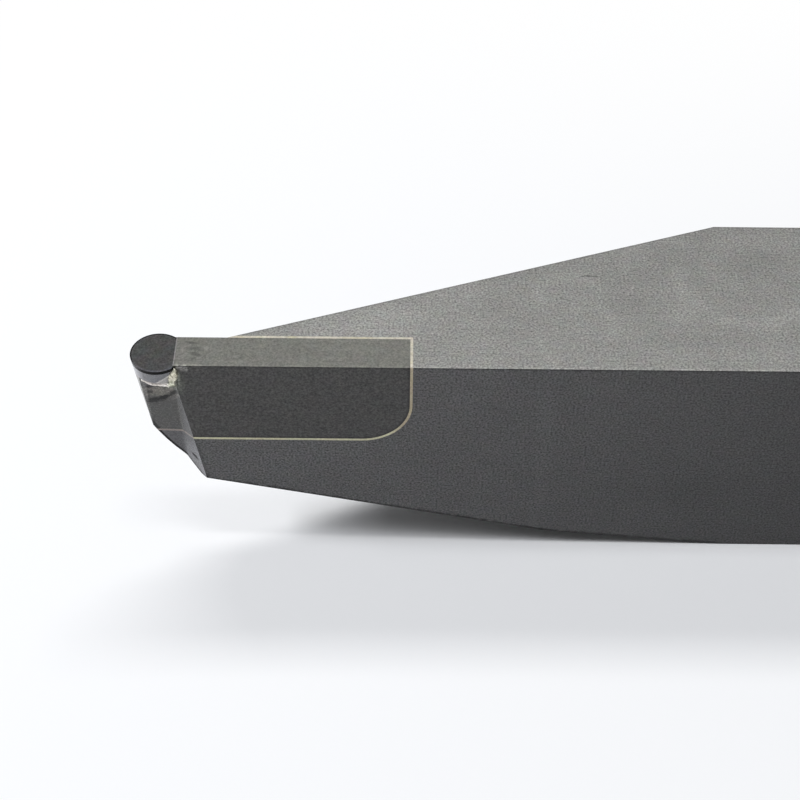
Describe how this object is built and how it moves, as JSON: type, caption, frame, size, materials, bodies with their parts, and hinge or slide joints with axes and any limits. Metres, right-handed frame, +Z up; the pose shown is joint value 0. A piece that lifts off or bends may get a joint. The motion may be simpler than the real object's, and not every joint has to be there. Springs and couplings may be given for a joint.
{
  "type": "diamond turning tool",
  "caption": "Lathe turning tool with a full-round diamond disc on a brazed carbide blade, let into the tapered and relieved head of a rectangular steel shank.",
  "frame": {"origin": "middle of the flat seat under the shank, halfway across its width", "axes": "+X along the shank from the nose to the rear end, -Y towards the side where the blade lies open, +Z up from the seat to the top, which carries the cutting face"},
  "size_m": [0.1251, 0.0208, 0.025],
  "materials": {
    "shank": "ground steel with a fine grain",
    "carbide_blade": "ground cemented carbide, dark grey",
    "blade_braze": "pale gold brazing alloy, ground flush",
    "carbide_disc": "ground cemented carbide, blue-grey",
    "diamond_layer": "sintered diamond, dark grey lapped top and black ground edge",
    "disc_braze": "cream silver brazing alloy, as run"
  },
  "bodies": {
    "root": {"shank": "shank", "carbide_blade": "carbide_blade", "blade_braze": "blade_braze", "carbide_disc": "carbide_disc", "diamond_layer": "diamond_layer", "disc_braze": "disc_braze"}
  },
  "joints": []
}
